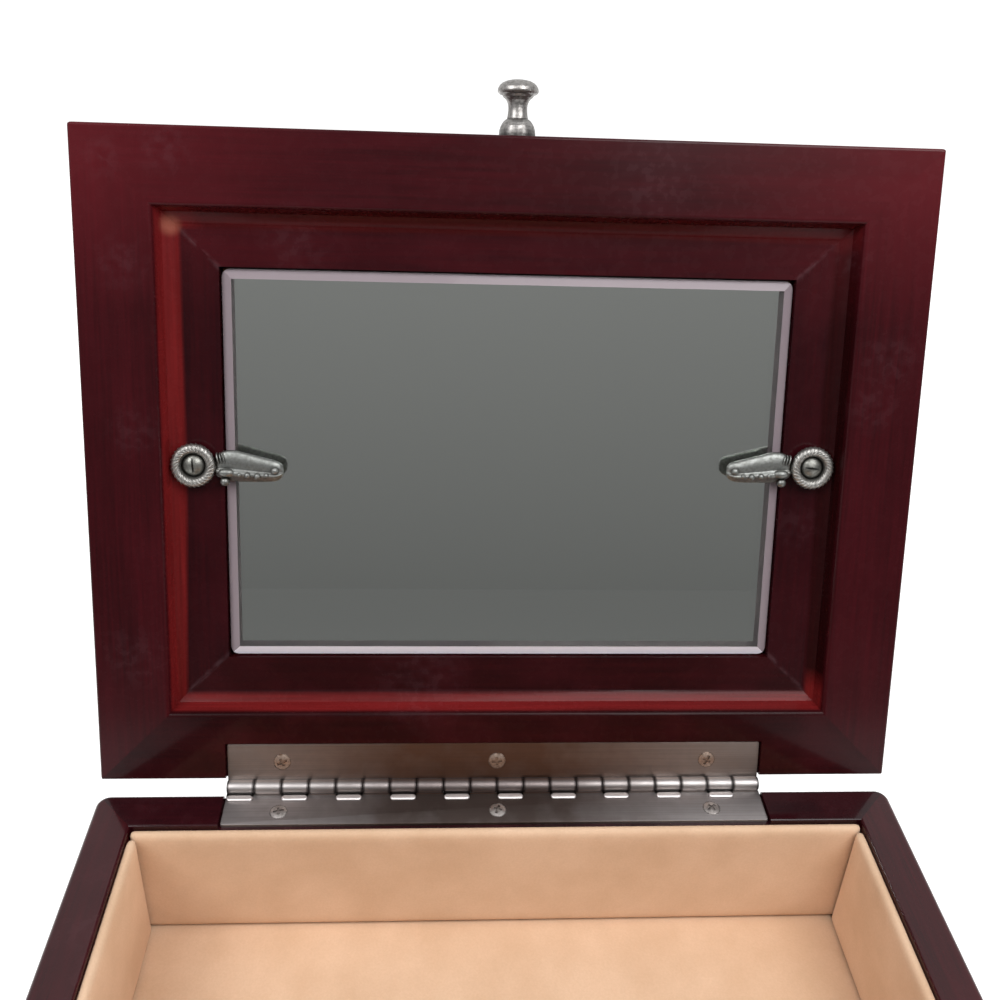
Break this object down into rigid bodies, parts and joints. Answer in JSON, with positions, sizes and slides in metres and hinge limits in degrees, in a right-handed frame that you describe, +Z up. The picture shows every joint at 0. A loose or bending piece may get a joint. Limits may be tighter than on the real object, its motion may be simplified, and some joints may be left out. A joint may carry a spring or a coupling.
{
  "type": "jewellery box with mirror lid",
  "caption": "Small lacquered wooden box with a suede-lined tray and a hinged lid that holds a bevelled mirror behind two turning clips",
  "frame": {"origin": "centre of the underside of the box", "axes": "+X to the right, +Y from the knob side to the hinge side, +Z up; the lid stands open"},
  "size_m": [0.19, 0.2137, 0.1927],
  "materials": {
    "lacquered_cherry": "dark red-brown cherry stain under gloss lacquer",
    "suede_lining": "short tan suede over thin board",
    "hinge_steel": "nickel-plated rolled steel strip",
    "antique_pewter": "cast metal, tumbled and darkened in its hollows",
    "mirror_plate": "silvered glass with a narrow bevel",
    "plain_board": "plain fibreboard"
  },
  "bodies": {
    "box": {"box_wall_front": "lacquered_cherry", "box_wall_back": "lacquered_cherry", "box_wall_left": "lacquered_cherry", "box_wall_right": "lacquered_cherry", "bottom_board": "plain_board", "lining_front": "suede_lining", "lining_back": "suede_lining", "lining_left": "suede_lining", "lining_right": "suede_lining", "lining_floor": "suede_lining", "hinge_leaf_box": "hinge_steel", "hinge_pin": "hinge_steel", "hinge_screws_box": "hinge_steel"},
    "lid": {"lid_rail_front": "lacquered_cherry", "lid_rail_back": "lacquered_cherry", "lid_rail_left": "lacquered_cherry", "lid_rail_right": "lacquered_cherry", "lid_top_panel": "lacquered_cherry", "inner_rail_front": "lacquered_cherry", "inner_rail_back": "lacquered_cherry", "inner_rail_left": "lacquered_cherry", "inner_rail_right": "lacquered_cherry", "mirror_glass": "mirror_plate", "mirror_backing": "plain_board", "hinge_leaf_lid": "hinge_steel", "hinge_screws_lid": "hinge_steel", "clip_screws": "antique_pewter", "lid_knob": "antique_pewter"},
    "clip_left": {"turn_clip_left": "antique_pewter"},
    "clip_right": {"turn_clip_right": "antique_pewter"}
  },
  "joints": [
    {"name": "lid_hinge", "type": "hinge", "parent": "box", "child": "lid", "pos_m": [-0.001, 0.07695, 0.0382], "axis": [-1, 0, 0], "range_deg": [-108, 0]},
    {"name": "clip_left_turn", "type": "hinge", "parent": "lid", "child": "clip_left", "pos_m": [-0.0718, 0.10537, 0.11077], "axis": [0, -0.9511, 0.309], "range_deg": [-90, 90]},
    {"name": "clip_right_turn", "type": "hinge", "parent": "lid", "child": "clip_right", "pos_m": [0.0718, 0.10571, 0.11182], "axis": [0, -0.9511, 0.309], "range_deg": [-90, 90]}
  ]
}
